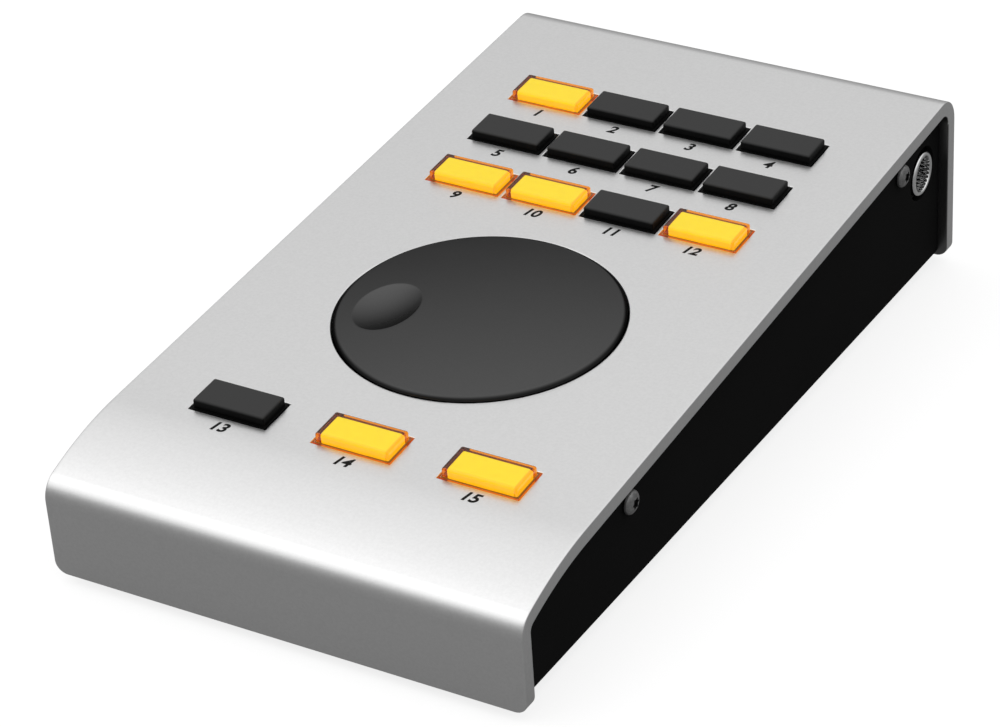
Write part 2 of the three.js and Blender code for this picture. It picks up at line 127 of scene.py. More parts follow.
def say(stage, pieces):
    print(f"{stage}: {len(pieces)} pieces, {sum(len(piece.data.polygons) for piece in pieces)} faces")


# Finishes: a Principled shader with its pattern nodes on Object coordinates
def startFinish(name, **values):
    finishes[name] = bpy.data.materials.new(name)
    finishes[name].use_nodes = True
    tree = finishes[name].node_tree
    shader = tree.nodes["Principled BSDF"]
    for socket, value in values.items():
        shader.inputs[socket.replace("_", " ")].default_value = value
    return tree, shader, tree.nodes.new("ShaderNodeTexCoord").outputs["Object"]


# Links a source to each socket that is named
def feed(tree, shader, **sources):
    for socket, source in sources.items():
        tree.links.new(source, shader.inputs[socket.replace("_", " ")])


def addNode(tree, kind, links=(), **settings):
    node = tree.nodes.new("ShaderNode" + kind)
    for setting, value in settings.items():
        if setting in node.inputs:
            node.inputs[setting].default_value = value
        else:
            setattr(node, setting, value)
    for socket, source in links:
        tree.links.new(source, node.inputs[socket])
    return node


def addNoise(tree, place, scale, detail, roughness=0.55):
    links = [("Vector", place)]
    return addNode(tree, "TexNoise", links, Scale=scale, Detail=detail, Roughness=roughness).outputs["Fac"]


def addMark(tree, mark):
    return addNode(tree, "Attribute", attribute_name=mark).outputs["Fac"]


def addMath(tree, operation, first, second):
    return addNode(tree, "Math", [(0, first), (1, second)], operation=operation).outputs[0]


# Carries a pattern on to the range from low to high, and holds it within
def addRange(tree, source, low, high, fromLow=0.3, fromHigh=0.7):
    values = {"From Min": fromLow, "From Max": fromHigh, "To Min": low, "To Max": high}
    return addNode(tree, "MapRange", [("Value", source)], **values).outputs["Result"]


# Goes from the first colour to the second as the factor goes from 0 to 1; either may be a socket
def addTint(tree, factor, first, second):
    mix = addNode(tree, "Mix", [(0, factor)], data_type="RGBA")
    for socket, tint in ((mix.inputs[6], first), (mix.inputs[7], second)):
        if isinstance(tint, tuple):
            socket.default_value = (*tint, 1)
        else:
            tree.links.new(tint, socket)
    return mix.outputs[2]


def addBump(tree, shader, source, strength, distance):
    bump = addNode(tree, "Bump", [("Height", source)], Strength=strength, Distance=distance)
    feed(tree, shader, Normal=bump.outputs["Normal"])


def grey(level):
    return (level, level, level)


# Grained surface: clouds and fine grain vary the colour, clouds the gloss, and grain the relief
def grainedFinish(name, dark, light, gloss, grain, relief, **values):
    tree, shader, place = startFinish(name, **values)
    clouds = addNoise(tree, place, grain * 0.02, 4.0)
    fine = addNoise(tree, place, grain, 2.0, 0.6)
    mottled = addRange(tree, addMath(tree, "ADD", clouds, fine), 0, 1, 0.72, 1.28)
    both = addTint(tree, mottled, dark, light)
    feed(tree, shader, Base_Color=both, Roughness=addRange(tree, clouds, *gloss))
    addBump(tree, shader, fine, *relief)


# Blasted aluminium: fine grain outside, and dark grey where the mark inside is 1
def aluminiumFinish():
    tree, shader, place = startFinish("anodised_aluminium", Metallic=0.95)
    fine = addNoise(tree, place, 4200, 2.0, 0.6)
    specks = addNoise(tree, place, 1700, 3.0, 0.6)
    outside = addTint(tree, addRange(tree, specks, 0, 1, 0.35, 0.65), grey(0.82), grey(0.86))
    both = addTint(tree, addMark(tree, "inside"), outside, grey(0.2))
    feed(tree, shader, Base_Color=both, Roughness=addRange(tree, specks, 0.30, 0.34))
    addBump(tree, shader, fine, 0.35, 3e-5)


# Dark satin metal whose gloss fades at flat angles; darker where the mark rim is 1, as painted shade on the
# rounded edge
def wheelFinish():
    tree, shader, place = startFinish("wheel_grey", Metallic=0.95, Specular_Tint=(0, 0, 0, 1))
    fine = addNoise(tree, place, 5200, 2.0, 0.6)
    clouds = addNoise(tree, place, 100, 4.0)
    disc = addTint(tree, addRange(tree, fine, 0, 1), grey(0.096), grey(0.107))
    # Painted shade: near black over the rounded edge
    both = addTint(tree, addMark(tree, "rim"), disc, grey(0.03))
    feed(tree, shader, Base_Color=both, Roughness=addRange(tree, clouds, 0.29, 0.32))
    addBump(tree, shader, fine, 0.15, 1.5e-5)


# Smooth black plastic: the sides nearly black as painted shade, and the top, where the top mark is 1, painted
# grey as painted light
def capFinish():
    tree, shader, place = startFinish("cap_dark", Specular_IOR_Level=0.08)
    fine = addNoise(tree, place, 4200, 2.0)
    top = addTint(tree, fine, grey(0.048), grey(0.054))
    # Painted light: grey on the top. Painted shade: near black on the sides.
    both = addTint(tree, addMark(tree, "satin"), grey(0.001), top)
    feed(tree, shader, Base_Color=both, Roughness=addRange(tree, fine, 0.45, 0.55))
    addBump(tree, shader, fine, 0.1, 1e-5)


# Clear amber plastic: the deeper light goes, the more green and blue it loses. The ledge, where the mark
# ledge is 1, is painted a deeper red as painted shade and glows faintly as painted glow, and its painted glow
# is a brighter orange where the mark glow is 1.
def amberFinish():
    tree, shader, place = startFinish("amber_clear", Transmission_Weight=1.0, IOR=1.45)
    haze = addNoise(tree, place, 900, 3.0)
    ledge, glow = addMark(tree, "ledge"), addMark(tree, "glow")
    body = addTint(tree, haze, (0.97, 0.90, 0.72), (0.99, 0.93, 0.77))
    # Painted shade: the ledge's deeper red
    feed(tree, shader, Base_Color=addTint(tree, ledge, body, (0.40, 0.09, 0.04)))
    # Painted glow: faint on the ledge, brighter orange where the mark glow is 1
    faint = addTint(tree, haze, (0.85, 0.20, 0.08), (0.95, 0.24, 0.10))
    feed(tree, shader, Emission_Color=addTint(tree, glow, faint, (1.0, 0.47, 0.02)))
    weak, strong = addRange(tree, ledge, 0, 0.07, 0, 1), addRange(tree, glow, 0, 0.22, 0, 1)
    feed(tree, shader, Emission_Strength=addMath(tree, "MAXIMUM", weak, strong))
    feed(tree, shader, Roughness=addRange(tree, haze, 0.1, 0.15))
    addBump(tree, shader, haze, 0.05, 1e-5)
    depth = addNode(tree, "VolumeAbsorption", Color=(0.82, 0.52, 0.22, 1), Density=650)
    feed(tree, tree.nodes["Material Output"], Volume=depth.outputs[0])


# Yellow diffuser lit from below: the more a face looks up, the paler it glows
def diffuserFinish():
    tree, shader, place = startFinish("diffuser_yellow", Specular_IOR_Level=0.2)
    haze = addNoise(tree, place, 700, 3.0)
    tilt = addNode(tree, "SeparateXYZ", [("Vector", addNode(tree, "NewGeometry").outputs["Normal"])])
    up = addRange(tree, tilt.outputs["Z"], 0, 1, 0.3, 0.95)
    feed(tree, shader, Base_Color=addTint(tree, haze, (0.18, 0.12, 0.01), (0.22, 0.15, 0.015)))
    feed(tree, shader, Emission_Color=addTint(tree, up, (1.0, 0.58, 0.008), (0.84, 0.80, 0.015)))
    feed(tree, shader, Emission_Strength=addRange(tree, haze, 1.2, 1.27))
    feed(tree, shader, Roughness=addRange(tree, haze, 0.45, 0.55))


# Dark plated steel, brushed by handling; the recess, where the mark recess is 1, is near black
def screwFinish():
    tree, shader, place = startFinish("black_zinc_steel", Metallic=0.6)
    wear = addNoise(tree, place, 1300, 4.0, 0.7)
    worn = addTint(tree, addRange(tree, wear, 0, 1), grey(0.2), grey(0.4))
    both = addTint(tree, addMark(tree, "recess"), worn, grey(0.015))
    feed(tree, shader, Base_Color=both, Roughness=addRange(tree, wear, 0.5, 0.36))
    addBump(tree, shader, wear, 0.2, 1e-5)


aluminiumFinish()
wheelFinish()
capFinish()
amberFinish()
diffuserFinish()
screwFinish()
grainedFinish("black_coated_steel", grey(0.008), grey(0.013), (0.6, 0.7), 3200, (0.3, 3e-5),
              Specular_IOR_Level=0.02)
grainedFinish("bright_steel", (0.6, 0.6, 0.61), (0.7, 0.7, 0.71), (0.22, 0.34), 3000, (0.1, 1e-5),
              Metallic=1.0)
grainedFinish("polished_nickel", grey(0.84), grey(0.92), (0.07, 0.12), 3000, (0.05, 1e-5), Metallic=1.0)
grainedFinish("brass_nut", (0.55, 0.38, 0.12), (0.66, 0.48, 0.18), (0.25, 0.4), 3000, (0.1, 1e-5),
              Metallic=1.0)
grainedFinish("switch_black", (0.012, 0.012, 0.013), (0.02, 0.02, 0.021), (0.5, 0.65), 3000, (0.2, 2e-5))
grainedFinish("socket_black", (0.01, 0.01, 0.011), (0.016, 0.016, 0.017), (0.5, 0.65), 3000, (0.2, 2e-5))
grainedFinish("encoder_blue", (0.02, 0.07, 0.22), (0.03, 0.09, 0.28), (0.4, 0.55), 3000, (0.2, 2e-5))
grainedFinish("board_green", (0.008, 0.07, 0.025), (0.014, 0.11, 0.04), (0.3, 0.45), 1500, (0.2, 2e-5))
grainedFinish("chip_black", (0.01, 0.01, 0.011), (0.018, 0.018, 0.019), (0.5, 0.6), 4000, (0.2, 2e-5))
grainedFinish("foot_rubber", grey(0.009), grey(0.016), (0.7, 0.85), 1800, (0.5, 5e-5))
grainedFinish("number_print", grey(0.006), grey(0.01), (0.5, 0.65), 5000, (0.1, 1e-5), Specular_IOR_Level=0.1)
print(f"finishes: {len(finishes)} ready")


# Lines of a grid: the fixed lines, with each gap between them cut into equal steps
def spacedLines(fixed, step):
    fixed = np.unique(np.round(fixed, 6))
    gaps = zip(fixed[:-1], fixed[1:])
    cut = [np.linspace(a, b, max(1, math.ceil((b - a) / step)) + 1)[:-1] for a, b in gaps]
    return np.concatenate([*cut, fixed[-1:]])


# Sorted lines without those that lie within 0.02 of the one before
def tidyLines(lines):
    lines = np.unique(np.round(lines, 6))
    return lines[np.concatenate([[True], np.diff(lines) > 0.02])]


# Points round a rectangle of grid lines, anticlockwise, each corner once
def loopOf(across, along):
    low, high = np.full(len(across) - 1, along[0]), np.full(len(across) - 1, along[-1])
    near, far = np.full(len(along) - 1, across[0]), np.full(len(along) - 1, across[-1])
    runs = ((across[:-1], low), (far, along[:-1]), (across[:0:-1], high), (near, along[:0:-1]))
    return np.hstack([np.stack(run) for run in runs]).T


# Takes a rectangle's cells out of the grid, and gives the points round it
def cutOut(keep, across, along, x0, x1, y0, y1):
    slack = 1e-5    # a side may lie a rounding error past its line
    i = np.searchsorted(across, (x0 - slack, x1 - slack))
    j = np.searchsorted(along, (y0 - slack, y1 - slack))
    keep[j[0]:j[1], i[0]:i[1]] = False
    return loopOf(across[i[0]:i[1] + 1], along[j[0]:j[1] + 1])


# Unit step square to both neighbouring edges of a closed outline, so that each edge moves out by one
def mitre(loop, side):
    ahead = np.roll(loop, -1, 0) - loop
    ahead = ahead / np.linalg.norm(ahead, axis=1, keepdims=True)
    total = side * np.stack([ahead[:, 1], -ahead[:, 0]], -1)
    total = total + np.roll(total, 1, 0)
    return 2 * total / (total ** 2).sum(1, keepdims=True)


# A flat blank is a grid of lines with windows left out, and rings from square to circle round each
# hole. fold carries a place on the blank and a depth into space, and gives both faces of the sheet.
# A quarter round on each side of every edge and a straight wall between them close it. warp may
# move the blank's places first.
def foldedSheet(across, along, windows, holes, edge, thickness, fold, warp=lambda places: places):
    keep = np.ones((len(along) - 1, len(across) - 1), bool)
    loops = [(loopOf(across, along), 1)]
    loops += [(cutOut(keep, across, along, *window), -1) for window in windows]
    rings = []
    for x, y, radius, half in holes:
        square = cutOut(keep, across, along, x - half, x + half, y - half, y + half)
        ray = square - (x, y)
        circle = (x, y) + ray / np.linalg.norm(ray, axis=1, keepdims=True) * radius
        share = np.array([0, 0.12, 0.35, 0.65, 1])[:, None, None]    # of the way out to the square
        rings.append(gridPatch(circle * (1 - share) + square * share, wrap=True))
        loops.append((circle, -1))
    flat, cells = gridPatch(np.stack(np.meshgrid(across, along), -1))
    flat, faces = joinPatches([(flat, cells[keep.ravel()]), *rings])
    patches = [(fold(warp(flat), np.full(len(flat), depth)), faces) for depth in (0.0, thickness)]
    turn = np.radians([0, 22.5, 45, 67.5, 90])
    out = np.concatenate([np.sin(turn), np.cos(turn)]) * edge
    deep = np.concatenate([(1 - np.cos(turn)) * edge, thickness - edge + np.sin(turn) * edge])
    for loop, side in loops:
        loop = warp(loop)
        step = mitre(loop, side)
        band = [fold(loop + step * o, np.full(len(loop), d)) for o, d in zip(out, deep)]
        patches.append(gridPatch(np.stack(band), wrap=True))
    return patches


# The keys are numbered from the back row's left end. Windows and keys both follow these values.
keys = {"pitch": 17.05, "frontPitch": 25.575, "rows": (150.1, 133.051, 116.002), "front": 30.4005,
        "lit": (1, 9, 10, 12, 14, 15), "halfX": 7.45, "halfY": 3.7, "ledge": 0.45, "gap": 0.2, "height": 1.8,
        "round": 0.42, "corner": 0.3, "skirt": -1.2, "wall": 0.8, "roof": 0.75, "stem": 1.2, "stemEnd": -3.3,
        "press": 0.02, "soft": 0.06, "blockRound": 0.3, "blockCorner": 0.3, "innerCorner": 0.2}
keyPlaces = [((column - 1.5) * keys["pitch"], y) for y in keys["rows"] for column in range(4)]
keyPlaces += [((column - 1) * keys["frontPitch"], keys["front"]) for column in range(3)]

cover = {"halfWidth": 48, "length": 183.8, "sheet": 3.1, "drop": 23.0, "frontBend": 4.6, "browRadius": 68,
         "browEnd": 23.5, "deckEnd": 177.6, "rearBend": 6.2, "edge": 0.22, "corner": 2.5, "step": 1.25,
         "wheelY": 73.1009, "wheelHole": 27.6, "wheelSquare": 30.0, "usbHalf": (6.3, 5.8), "usbZ": -12.9}

# The cover's side line: straight runs and arcs laid end to end, which are front flange, front bend,
# brow, deck, rear bend and rear flange. The bend's circle touches the brow's from inside, so their
# middles lie as far apart as their radii differ. stations are the distances along it between runs.
frontBend, browRadius, rearBend = cover["frontBend"], cover["browRadius"], cover["rearBend"]
browEnd, deckEnd, coverLength = cover["browEnd"], cover["deckEnd"], cover["length"]
browRise = math.sqrt((browRadius - frontBend) ** 2 - (browEnd - frontBend) ** 2)
browMeets = math.atan2(browRise, frontBend - browEnd)
bendZ = browRise - browRadius
arcs = ((frontBend, bendZ, frontBend, math.pi), (browEnd, -browRadius, browRadius, browMeets),
        (deckEnd, -rearBend, rearBend, math.pi / 2))    # middle's y and z, radius, first angle
frontEnd = -cover["drop"] / math.cos(deckSlope)
rearEnd = (-cover["drop"] - coverLength * math.sin(deckSlope)) / math.cos(deckSlope)
rearRun = -rearBend - rearEnd
stations = np.cumsum([0, bendZ - frontEnd, (math.pi - browMeets) * frontBend,
                      (browMeets - math.pi / 2) * browRadius, deckEnd - browEnd,
                      math.pi / 2 * rearBend, rearRun])


# Place on the side line, moved inwards by the depth: an arc's angle falls with the distance along it
def coverLine(s, depth):
    turned = []
    for start, (y, z, radius, angle) in zip((stations[1], stations[2], stations[4]), arcs):
        turn = angle - (s - start) / radius
        turned.append((y + (radius - depth) * np.cos(turn), z + (radius - depth) * np.sin(turn)))
    front, rear = np.minimum(s, stations[1]), np.maximum(s, stations[5])
    runs = [(depth, frontEnd + front), turned[0], turned[1], (browEnd + s - stations[3], -depth), turned[2],
            (coverLength - depth, -rearBend - (rear - stations[5]))]
    zones = [*(s <= station for station in stations[1:6]), s > stations[5]]
    return np.select(zones, [y for y, _ in runs]), np.select(zones, [z for _, z in runs])


# The cover's blank is x by distance along the side line. The flanges' lower edges are level.
def foldCover(places, depth):
    x, s = places.T
    y, z = coverLine(s, depth)
    front = np.clip(1 - s / stations[1], 0, 1)
    rear = np.clip((s - stations[5]) / rearRun, 0, 1)
    z = z - (front * y + rear * (y - coverLength)) * math.tan(deckSlope)
    return deckToWorld(np.stack([x, y, z], -1))


# Squares at the blank's four corners become quarter discs, so the flanges' corners are round
def roundCorners(places):
    places = places.copy()
    size = cover["corner"] - cover["edge"]
    sides = np.sign(places[:, 0])
    ends = np.where(places[:, 1] < stations[6] / 2, -1, 1)
    insideX = cover["halfWidth"] - cover["corner"]
    insideY = np.where(ends < 0, cover["corner"], stations[6] - cover["corner"])
    u, v = (np.abs(places[:, 0]) - insideX) / size, (places[:, 1] - insideY) * ends / size
    near = (u > 0) & (v > 0)
    reach = np.maximum(np.maximum(u, v), 1e-9)
    turn = math.pi / 4 * np.where(u >= v, v / reach, 2 - u / reach)
    places[:, 0] = np.where(near, sides * (insideX + size * reach * np.cos(turn)), places[:, 0])
    places[:, 1] = np.where(near, insideY + ends * size * reach * np.sin(turn), places[:, 1])
    return places


# Height of the side line, moved inwards by the depth, at a place along the deck. An arc stands above
# its middle by the root of its radius squared less the distance from the middle squared.
def underSheet(y, depth):
    y = np.clip(y, depth, coverLength - depth)
    heights = [middleZ + np.sqrt(np.maximum((radius - depth) ** 2 - (y - middleY) ** 2, 0))
               for middleY, middleZ, radius, _ in arcs]
    meets = frontBend + (frontBend - depth) * math.cos(browMeets)
    flat = np.full_like(y, -depth)
    return np.select([y < meets, y < browEnd, y < deckEnd], [heights[0], heights[1], flat], heights[2])


# The sheet's inner face, all that lies under it, and a hair more
def innerSide(spots):
    y, z = spots[:, 1], spots[:, 2]
    sheet, hair = cover["sheet"], 0.12
    return (y > sheet - hair) & (y < coverLength - sheet + hair) & (z < underSheet(y, sheet) + hair)


# Grid lines run along every window, station and rounded corner, and closer together in the bends
def makeCover():
    edge, corner, side, blank = cover["edge"], cover["corner"], cover["halfWidth"], stations[6]
    toStation = stations[3] - browEnd
    halfX = keys["halfX"] + keys["ledge"] + keys["gap"] + edge
    halfY = keys["halfY"] + keys["ledge"] + keys["gap"] + edge
    windows = [(x - halfX, x + halfX, y + toStation - halfY, y + toStation + halfY) for x, y in keyPlaces]
    wide, high = cover["usbHalf"]
    flange = stations[5] - rearBend
    windows.append((-wide - edge, wide + edge, flange - (cover["usbZ"] + high) - edge,
                    flange - (cover["usbZ"] - high) + edge))
    windows = [tuple(np.round(window, 6)) for window in windows]
    wheelS, square = cover["wheelY"] + toStation, cover["wheelSquare"]
    across = [edge - side, side - edge, corner - side, side - corner, -square, square]
    along = [edge, corner, blank - corner, blank - edge, wheelS - square, wheelS + square, *stations[1:6]]
    for x0, x1, y0, y1 in windows:
        across += [x0, x1]
        along += [y0, y1]
    arc = np.linspace(0, corner - edge, 6)
    across = spacedLines(across, cover["step"])
    across = tidyLines(np.concatenate([across, side - edge - arc, arc - side + edge]))
    closer = [np.linspace(stations[1], stations[2], 25), np.linspace(stations[2], stations[3], 13),
              np.linspace(stations[4], stations[5], 25), edge + arc, blank - edge - arc]
    along = tidyLines(np.concatenate([spacedLines(along, cover["step"]), *closer]))
    holes = [(0.0, wheelS, cover["wheelHole"] + edge, square)]
    patches = foldedSheet(across, along, windows, holes, edge, cover["sheet"], foldCover, roundCorners)
    return makePiece("folded_cover", patches, "anodised_aluminium", "console", "top_cover",
                     inside=innerSide)


say("cover", [makeCover()])


# The wall's foot stands on the level floor; low, top and followFrom are heights in the deck's frame.
# Above followFrom the wall stretches or shrinks, so that its upper edge stays under the sheet.
case = {"halfWidth": 46.0, "sheet": 1.5, "bend": 1.8, "bottom": 2.15, "front": 3.4, "rear": 180.4,
        "lift": 3.0, "low": -19.3, "top": -3.4, "followFrom": -9.5,
        "edge": 0.15, "acrossStep": 0.8, "alongStep": 1.2,
        "screws": ((42.4, -7.5), (160.85, -7.5)), "screwHole": 1.4, "screwSquare": 2.4,
        "jack": (171.9, -13.25), "jackHole": 5.7, "jackSquare": 6.25}
floorHalf = case["halfWidth"] - case["bend"]
wallStart = floorHalf + math.pi / 2 * case["bend"]
wallTop = wallStart + case["lift"] + case["top"] - case["low"]


# Deck height of a place at a level height: that height less the slope's rise, over its cosine
def levelToDeck(y, height):
    return (height - deckStart[1] - y * math.sin(deckSlope)) / math.cos(deckSlope)


# The case's blank is the distance round its cross-section by the place along the deck: half the
# floor, a quarter bend, the lift up to the line low, and then the wall on the deck's own lines.
def foldCase(places, depth):
    t, y = places.T
    side, reach = np.sign(t), np.abs(t)
    turn = np.clip((reach - floorHalf) / case["bend"], 0, math.pi / 2)
    radius = case["bend"] - depth
    x = np.where(reach < floorHalf, reach, floorHalf + radius * np.sin(turn))
    height = case["bottom"] + case["bend"] - radius * np.cos(turn)
    up = reach - wallStart
    foot = levelToDeck(y, case["bottom"] + case["bend"])
    lifted = foot + (case["low"] - foot) * up / case["lift"]
    level = case["low"] + up - case["lift"]
    follow = np.clip((level - case["followFrom"]) / (case["top"] - case["followFrom"]), 0, None)
    followed = level + (underSheet(y, case["front"]) - case["top"]) * follow
    wall = np.where(up < case["lift"], lifted, followed)
    z = np.where(up > 0, wall, levelToDeck(y, height))
    return deckToWorld(np.stack([side * x, y, z], -1))


# Grid lines run along every hole's square, and closer together under the cover's bends
def makeCase():
    edge, front = case["edge"], case["front"]
    toBlank = lambda z: wallStart + case["lift"] + z - case["low"]
    holes = [(side * toBlank(z), y, case["screwHole"] + edge, case["screwSquare"])
             for side in hands.values() for y, z in case["screws"]]
    jackY, jackZ = case["jack"]
    holes.append((toBlank(jackZ), jackY, case["jackHole"] + edge, case["jackSquare"]))
    across = [wallTop - edge, wallStart, wallStart + case["lift"], floorHalf]
    along = [front + edge, case["rear"] - edge, browEnd, deckEnd]
    for t, y, _, half in holes:
        across += [abs(t) - half, abs(t) + half]
        along += [y - half, y + half]
    across = np.concatenate([spacedLines(across, case["acrossStep"]), np.linspace(floorHalf, wallStart, 9),
                             np.linspace(0, floorHalf, 12)])
    across = tidyLines(np.concatenate([across, -across]))
    frontTurn, rearTurn = np.linspace(0.4, 1.25, 8), np.linspace(0, 1.3, 9)
    closer = [front + (frontBend - front) * (1 - np.cos(frontTurn)), np.linspace(5, browEnd, 12),
              deckEnd + (rearBend - front) * np.sin(rearTurn)]
    along = tidyLines(np.concatenate([spacedLines(along, case["alongStep"]), *closer]))
    patches = foldedSheet(across, along, [], holes, edge, case["sheet"], foldCase)
    return makePiece("folded_case", patches, "black_coated_steel", "console", "bottom_case")


say("case", [makeCase()])


# A closed path round a rectangle with rounded corners; every such path has the same count of points
def roundedPath(halfX, halfY, radius, cornerSteps=5, sideSteps=6):
    radius = min(radius, halfX, halfY)
    turn = np.linspace(0, math.pi / 2, cornerSteps + 1)
    runs = []
    for quarter, (sx, sy) in enumerate(((1, 1), (-1, 1), (-1, -1), (1, -1))):
        angle = turn + quarter * math.pi / 2
        corner = np.array([sx * (halfX - radius), sy * (halfY - radius)])
        runs.append(corner + radius * np.stack([np.cos(angle), np.sin(angle)], -1))
    share = np.linspace(0, 1, sideSteps + 1)[1:-1, None]
    sides = [run[-1] * (1 - share) + after[0] * share for run, after in zip(runs, runs[1:] + runs[:1])]
    return np.vstack([part for pair in zip(runs, sides) for part in pair])


# Rounded rectangles stacked by height; the first and the last are a point or a line, which closes them
def stackedLoops(levels, centre):
    loops = []
    for halfX, halfY, radius, height in levels:
        path = roundedPath(halfX, halfY, radius)
        loops.append(np.column_stack([path + centre, np.full(len(path), height)]))
    return np.stack(loops)


# Quarter round from a wall to a flat: inset and height of each step after the first
def quarterRound(radius, steps=4):
    turn = np.linspace(0, math.pi / 2, steps + 1)[1:]
    return list(zip(radius * (1 - np.cos(turn)), radius * np.sin(turn)))


# A key's outline grown by a distance, with a corner radius, at a height
def keyLevel(grown, corner, height):
    return (keys["halfX"] + grown, keys["halfY"] + grown, corner, height)


# A key's outline shrunk to its middle line at a height
def keyLine(height):
    return (keys["halfX"] - keys["halfY"], 0, 0, height)


# Ledge, small fillet, wall, softened upper edge and flat top of a key, from the ledge's underside up
def keyOutside():
    ledge, soft, skirt, corner, top = (keys[part] for part in ("ledge", "soft", "skirt", "corner", "height"))
    levels = [keyLevel(ledge - soft, 0.05, skirt), keyLevel(ledge, 0.08, skirt + soft)]
    levels += [keyLevel(ledge, 0.08, -soft), keyLevel(ledge - soft, 0.06, 0), keyLevel(0.12, corner + 0.1, 0)]
    start = top - keys["round"]
    levels += [keyLevel(0.03, corner, 0.03), keyLevel(0, corner, 0.12), keyLevel(0, corner, start)]
    levels += [keyLevel(-inset, corner, start + rise) for inset, rise in quarterRound(keys["round"])]
    levels += [keyLevel(-inset, corner * 0.7, top) for inset in (0.7, 1.4, 2.4)]
    return [*levels, keyLine(top)]


# Square plunger under a key, from its closed lower end up to the ledge's underside
def stemLevels():
    stem, end, bevel = keys["stem"], keys["stemEnd"], 0.15
    return [(0, 0, 0, end), (stem - bevel, stem - bevel, 0.1, end), (stem, stem, bevel, end + bevel),
            (stem, stem, bevel, keys["skirt"])]


# The painted-light mark on the top rises from 0 to 1 over the height of the rounded upper edge
def makeDarkKey(number, place):
    rounding = keys["round"]
    upper = lambda spots: np.clip((spots[:, 2] - keys["height"] + rounding) / rounding, 0, 1)
    return makePiece(f"key_{number}", shell(stackedLoops(stemLevels() + keyOutside(), place)), "cap_dark",
                     f"button_{number}", f"button_cap_{number}", satin=upper)


# The clear cap is a shell: its outside turns in at the bottom and runs up again to the inner roof.
# It is pressed over its block, so that no air lies between them and the block shows through it.
# The mark ledge, for the painted shade and the faint painted glow, rises over the first 0.1 beyond the wall.
# The mark glow, for the brighter painted glow, is as high, on the ledge's upper face only, and fades from
# 0.15 to 0.5 beyond the wall.
def makeClearKey(number, place):
    corner, skirt = keys["innerCorner"], keys["skirt"]
    roof, wall = keys["height"] - keys["roof"] - keys["press"], -keys["wall"] - keys["press"]
    inside = [keyLine(roof), keyLevel(wall - 0.8, corner, roof), keyLevel(wall - 0.35, corner, roof),
              keyLevel(wall - 0.12, corner, roof - 0.12), keyLevel(wall, corner, roof - 0.35),
              keyLevel(wall, corner, skirt)]
    reach = lambda spots: (np.abs(spots[:, :2] - place) - (keys["halfX"], keys["halfY"])).max(1)
    beyond = lambda spots: np.clip(reach(spots) / 0.1, 0, 1)
    bright = lambda spots: beyond(spots) * np.clip((0.5 - reach(spots)) / 0.35, 0, 1) * (spots[:, 2] > -0.05)
    return makePiece(f"clear_key_{number}", shell(stackedLoops(inside + keyOutside(), place)), "amber_clear",
                     f"button_{number}", f"button_cap_{number}", ledge=beyond, glow=bright)


# Plunger, straight walls, rounded upper edge and flat top of the block in a clear cap
def makeInsert(number, place):
    corner, soft = keys["blockCorner"], keys["blockRound"]
    wall, top = -keys["wall"], keys["height"] - keys["roof"]
    levels = stemLevels() + [keyLevel(wall, corner, keys["skirt"]), keyLevel(wall, corner, top - soft)]
    levels += [keyLevel(wall - inset, corner, top - soft + rise) for inset, rise in quarterRound(soft)]
    levels += [keyLevel(wall - 1.2, 0.2, top), keyLine(top)]
    return makePiece(f"glow_block_{number}", shell(stackedLoops(levels, place)), "diffuser_yellow",
                     f"button_{number}", f"light_insert_{number}")


shown = []
for number, place in enumerate(keyPlaces, 1):
    if number in keys["lit"]:
        shown += [makeClearKey(number, place), makeInsert(number, place)]
    else:
        shown.append(makeDarkKey(number, place))
say("keys", shown)


wheel = {"radius": 27.3, "top": 1.1, "thickness": 3.0, "round": 0.8, "hub": 5.0, "hubEnd": -2.9, "bore": 3.1,
         "boreTop": 0.2, "bevel": 0.15, "dimple": (-16.5, -5.5), "dimpleHalf": (6.0, 8.0), "dimpleDepth": 1.1,
         "dimpleReach": 1.15, "crown": 1.2, "crownOffset": 0.65, "rays": 240}


